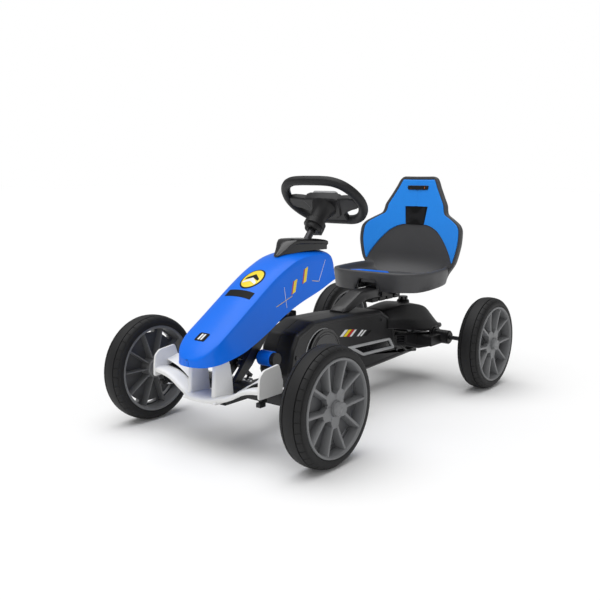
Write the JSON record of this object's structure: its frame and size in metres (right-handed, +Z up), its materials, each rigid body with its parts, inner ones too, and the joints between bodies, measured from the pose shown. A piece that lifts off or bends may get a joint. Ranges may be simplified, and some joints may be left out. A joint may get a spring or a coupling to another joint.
{
  "type": "pedal go kart",
  "caption": "Child's pedal go kart with chain drive, linked front steering, plastic fairing and wing, and a sliding bucket seat.",
  "frame": {"origin": "middle of the ground footprint, on the ground", "axes": "+Z up, -Y is the direction of travel, +X is the driver's left"},
  "size_m": [0.608, 1.054, 0.6027],
  "materials": {
    "frame_steel": "satin black powder coat",
    "bright_steel": "zinc plated",
    "dark_steel": "black coated steel",
    "black_plastic": "fine grain moulded",
    "gloss_black": "gloss moulded",
    "blue_plastic": "gloss moulded",
    "white_plastic": "semi gloss moulded",
    "grey_plastic": "grained moulded seat shell",
    "rim_plastic": "satin grey moulded rim",
    "tyre": "foamed rubber tyre",
    "trim_silver": "satin silver trim",
    "pad_grey": "satin grey pad",
    "bush_plastic": "plain bearing nylon",
    "grip_rubber": "soft grip"
  },
  "bodies": {
    "chassis": {"front_beam": "frame_steel", "kingpins": "bright_steel", "steering_mast": "frame_steel", "column_bushes": "bush_plastic", "spine_tube": "frame_steel", "rear_carrier": "frame_steel", "axle_bushes": "bush_plastic", "crank_bushes": "bush_plastic", "seat_neck": "grey_plastic", "rail_blocks": "black_plastic", "body_cover_left": "black_plastic", "body_cover_right": "black_plastic", "rear_shroud": "black_plastic", "crank_discs": "gloss_black", "slot_trims": "trim_silver", "panel_screws": "dark_steel", "nose_fairing": "blue_plastic", "column_cowl": "gloss_black", "front_wing": "white_plastic", "wing_endplates": "white_plastic", "footrest_bar": "frame_steel", "footrest_sleeves": "blue_plastic", "footrest_caps": "black_plastic", "chain": "dark_steel"},
    "steering": {"steering_column": "bright_steel", "steering_hub": "black_plastic", "steering_wheel": "grip_rubber", "steering_pad": "pad_grey"},
    "knuckle_left": {"knuckle_left": "dark_steel"},
    "knuckle_right": {"knuckle_right": "dark_steel"},
    "tie_rod_left": {"tie_rod_left": "bright_steel"},
    "tie_rod_right": {"tie_rod_right": "bright_steel"},
    "front_wheel_left": {"front_tyre_left": "tyre", "front_rim_left": "rim_plastic", "front_hub_cap_left": "rim_plastic", "front_bushes_left": "bush_plastic"},
    "front_wheel_right": {"front_tyre_right": "tyre", "front_rim_right": "rim_plastic", "front_hub_cap_right": "rim_plastic", "front_bushes_right": "bush_plastic"},
    "rear_axle": {"rear_axle": "bright_steel", "rear_sprocket": "bright_steel", "rear_tyre_left": "tyre", "rear_tyre_right": "tyre", "rear_rim_left": "rim_plastic", "rear_rim_right": "rim_plastic", "rear_hub_caps": "rim_plastic"},
    "crank": {"crank_axle": "bright_steel", "chainring": "bright_steel", "crank_arms": "dark_steel"},
    "pedal_left": {"pedal_left": "black_plastic"},
    "pedal_right": {"pedal_right": "black_plastic"},
    "seat": {"seat_shell": "grey_plastic", "seat_back_panel": "blue_plastic", "seat_window": "black_plastic", "seat_badge": "black_plastic", "seat_slider": "frame_steel", "seat_bolts": "bright_steel"},
    "seat_lock": {"seat_lock_knob": "gloss_black"},
    "selector": {"selector_knob": "gloss_black"}
  },
  "joints": [
    {"name": "steering_turn", "type": "hinge", "parent": "chassis", "child": "steering", "pos_m": [0, -0.393, 0.13], "axis": [0, 0.6691, 0.7431], "range_deg": [-30, 30]},
    {"name": "kingpin_left", "type": "hinge", "parent": "chassis", "child": "knuckle_left", "pos_m": [0.205, -0.393, 0.13], "axis": [0, 0, 1], "range_deg": [-25, 25]},
    {"name": "kingpin_right", "type": "hinge", "parent": "chassis", "child": "knuckle_right", "pos_m": [-0.205, -0.393, 0.13], "axis": [0, 0, 1], "range_deg": [-25, 25]},
    {"name": "tie_rod_left_pivot", "type": "hinge", "parent": "knuckle_left", "child": "tie_rod_left", "pos_m": [0.205, -0.343, 0.12], "axis": [0, 0, 1], "range_deg": [-25, 25]},
    {"name": "tie_rod_right_pivot", "type": "hinge", "parent": "knuckle_right", "child": "tie_rod_right", "pos_m": [-0.205, -0.343, 0.13], "axis": [0, 0, 1], "range_deg": [-25, 25]},
    {"name": "front_wheel_left_spin", "type": "hinge", "parent": "knuckle_left", "child": "front_wheel_left", "pos_m": [0.272, -0.393, 0.13], "axis": [1, 0, 0], "continuous": true},
    {"name": "front_wheel_right_spin", "type": "hinge", "parent": "knuckle_right", "child": "front_wheel_right", "pos_m": [-0.272, -0.393, 0.13], "axis": [1, 0, 0], "continuous": true},
    {"name": "rear_axle_spin", "type": "hinge", "parent": "chassis", "child": "rear_axle", "pos_m": [0, 0.397, 0.13], "axis": [1, 0, 0], "continuous": true},
    {"name": "crank_spin", "type": "hinge", "parent": "chassis", "child": "crank", "pos_m": [0, -0.103, 0.155], "axis": [1, 0, 0], "continuous": true},
    {"name": "pedal_left_spin", "type": "hinge", "parent": "crank", "child": "pedal_left", "pos_m": [0.105, -0.103, 0.07], "axis": [1, 0, 0], "continuous": true},
    {"name": "pedal_right_spin", "type": "hinge", "parent": "crank", "child": "pedal_right", "pos_m": [-0.105, -0.103, 0.24], "axis": [1, 0, 0], "continuous": true},
    {"name": "seat_slide", "type": "slide", "parent": "chassis", "child": "seat", "axis": [0, 1, 0], "range_m": [-0.039, 0.02]},
    {"name": "seat_lock_pull", "type": "slide", "parent": "seat", "child": "seat_lock", "axis": [1, 0, 0], "range_m": [0, 0.008], "stiffness_N_per_m": 400, "springref_m": -0.002},
    {"name": "selector_lift", "type": "slide", "parent": "chassis", "child": "selector", "axis": [0, 0, 1], "range_m": [0, 0.01]}
  ],
  "couplings": [
    {"joint": "kingpin_left", "follows": "steering_turn", "ratio": 0.8},
    {"joint": "kingpin_right", "follows": "steering_turn", "ratio": 0.8},
    {"joint": "tie_rod_left_pivot", "follows": "steering_turn", "ratio": -0.8},
    {"joint": "tie_rod_right_pivot", "follows": "steering_turn", "ratio": -0.8},
    {"joint": "crank_spin", "follows": "rear_axle_spin", "ratio": 0.57143}
  ]
}
